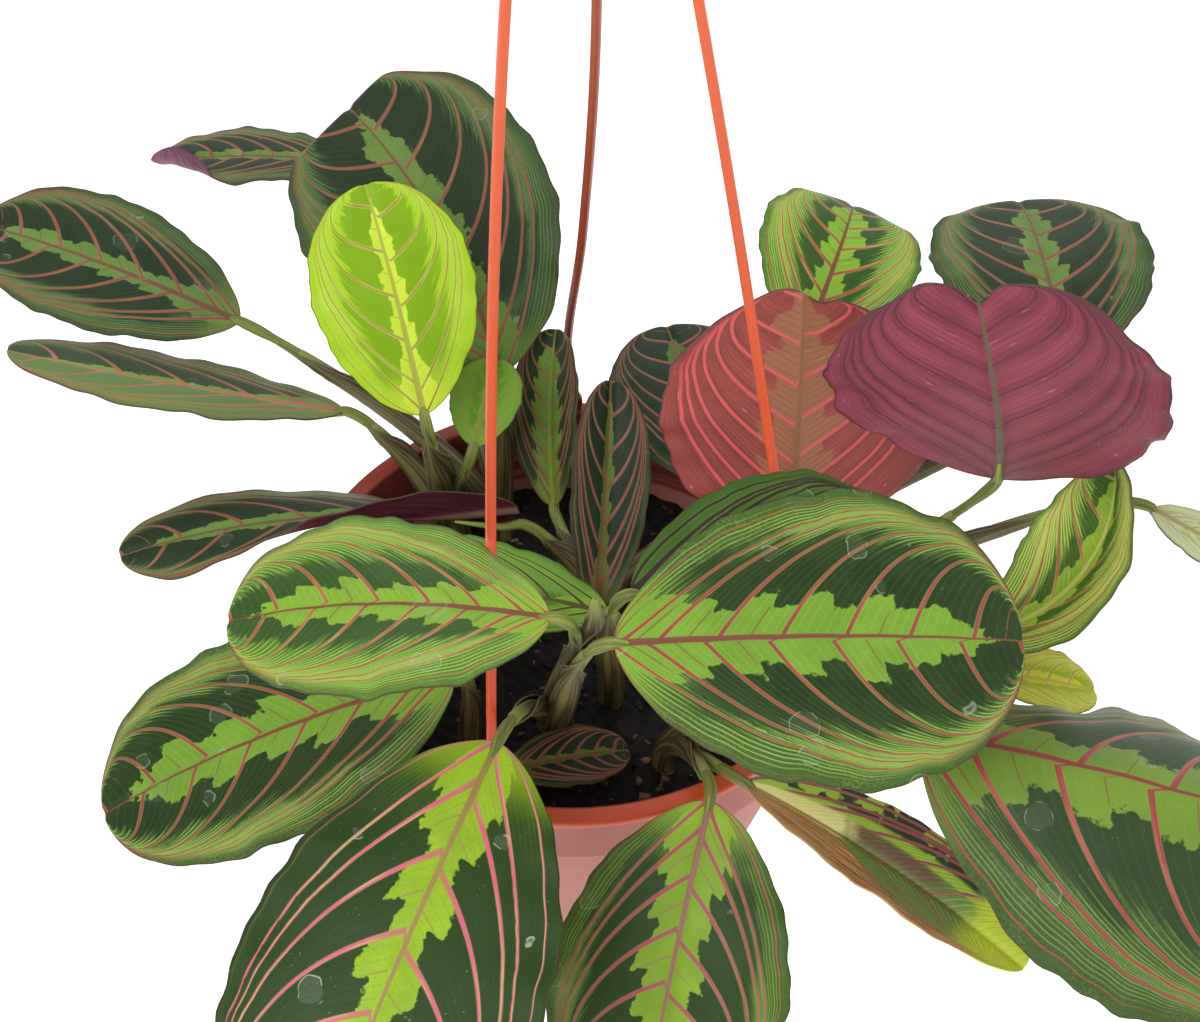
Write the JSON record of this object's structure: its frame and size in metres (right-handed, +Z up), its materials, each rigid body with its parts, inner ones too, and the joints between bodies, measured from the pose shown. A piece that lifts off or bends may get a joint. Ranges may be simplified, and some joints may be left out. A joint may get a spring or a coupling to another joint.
{
  "type": "potted prayer plant",
  "caption": "Red prayer plant with patterned, pink-veined leaves in a terracotta-coloured plastic hanging pot, held by orange strands that meet at a hook.",
  "frame": {"origin": "inside of the hook's crown, where a nail or rail carries it", "axes": "+Z up along the hanger, -Y towards the front of the plant, +X to its right"},
  "size_m": [0.3565, 0.3227, 0.4893],
  "materials": {
    "pot": "matte, with a brighter lip",
    "soil": "damp dark peat with bits of bark",
    "hanger": "satin moulded strand",
    "stem": "ribbed olive-brown sheath",
    "leaf": "satin leaf with dark patches, a yellow-green middle and rose veins",
    "young_leaf": "satin lime leaf with mid green patches",
    "leaf_underside": "dull red-purple underside"
  },
  "bodies": {
    "root": {"pot": "pot", "soil": "soil", "hook": "hanger", "hanger_strand_front_left": "hanger", "hanger_strand_back": "hanger", "hanger_strand_front_right": "hanger", "shoot_left": "stem", "shoot_back": "stem", "shoot_inner": "stem", "shoot_middle": "stem", "shoot_centre": "stem", "shoot_front_left": "stem", "shoot_front_right": "stem", "shoot_right": "stem", "shoot_back_right": "stem", "leaf_left_far": "leaf", "leaf_left_edge": "leaf", "leaf_back_left": "leaf", "leaf_back_tall": "leaf", "leaf_young_lime": "young_leaf", "leaf_back_narrow": "leaf", "leaf_left_rolled": "leaf", "leaf_left_light": "leaf", "leaf_left_lower": "leaf", "leaf_front_left_large": "leaf", "leaf_front": "leaf", "leaf_right_large": "leaf", "leaf_right_near": "leaf", "leaf_dying_rolled": "leaf", "leaf_right_upright": "leaf", "leaf_right_small": "leaf", "leaf_purple_underside": "leaf_underside", "leaf_salmon_underside": "leaf_underside", "leaf_behind_large": "leaf", "leaf_back_right_light": "leaf", "leaf_back_right_dark": "leaf", "leaf_back_centre_dark": "leaf", "leaf_centre_narrow": "leaf", "leaf_under_left": "leaf", "leaf_low_dark": "leaf", "leaf_backlit_green": "young_leaf", "leaf_right_translucent": "young_leaf"}
  },
  "joints": []
}
